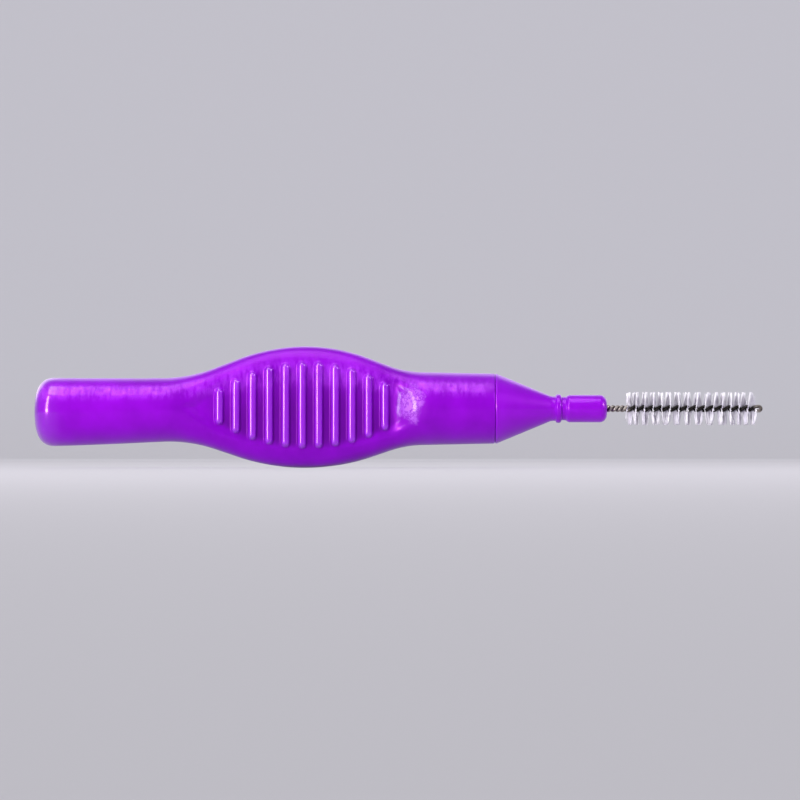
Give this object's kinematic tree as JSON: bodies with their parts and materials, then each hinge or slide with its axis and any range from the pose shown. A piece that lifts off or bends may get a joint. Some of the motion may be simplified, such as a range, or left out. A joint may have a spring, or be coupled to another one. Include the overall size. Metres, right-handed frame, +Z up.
{
  "type": "interdental brush",
  "caption": "Slim interdental brush: ribbed plastic handle with a push-fit conical head that holds a twisted wire full of fine filaments.",
  "frame": {"origin": "under the middle of the brush's whole length, in the plane that the lower edge of the grip stands on", "axes": "+X along the brush from the tail to the wire's tip, +Z up across the grip's broad faces, -Y out of the front ribbed face"},
  "size_m": [0.07, 0.007, 0.0117],
  "materials": {
    "handle_plastic": "semi-gloss moulded violet plastic",
    "holder_plastic": "semi-gloss moulded violet plastic",
    "wire_steel": "drawn stainless wire, twisted",
    "filament_nylon": "translucent white nylon filament"
  },
  "bodies": {
    "handle": {"handle": "handle_plastic"},
    "brush_head": {"brush_holder": "holder_plastic", "wire": "wire_steel", "tuft_01": "filament_nylon", "tuft_02": "filament_nylon", "tuft_03": "filament_nylon", "tuft_04": "filament_nylon", "tuft_05": "filament_nylon", "tuft_06": "filament_nylon", "tuft_07": "filament_nylon", "tuft_08": "filament_nylon", "tuft_09": "filament_nylon", "tuft_10": "filament_nylon", "tuft_11": "filament_nylon", "tuft_12": "filament_nylon", "tuft_13": "filament_nylon", "tuft_14": "filament_nylon", "tuft_15": "filament_nylon"}
  },
  "joints": [
    {"name": "head_pull", "type": "slide", "parent": "handle", "child": "brush_head", "axis": [1, 0, 0], "range_m": [0, 0.006]}
  ]
}
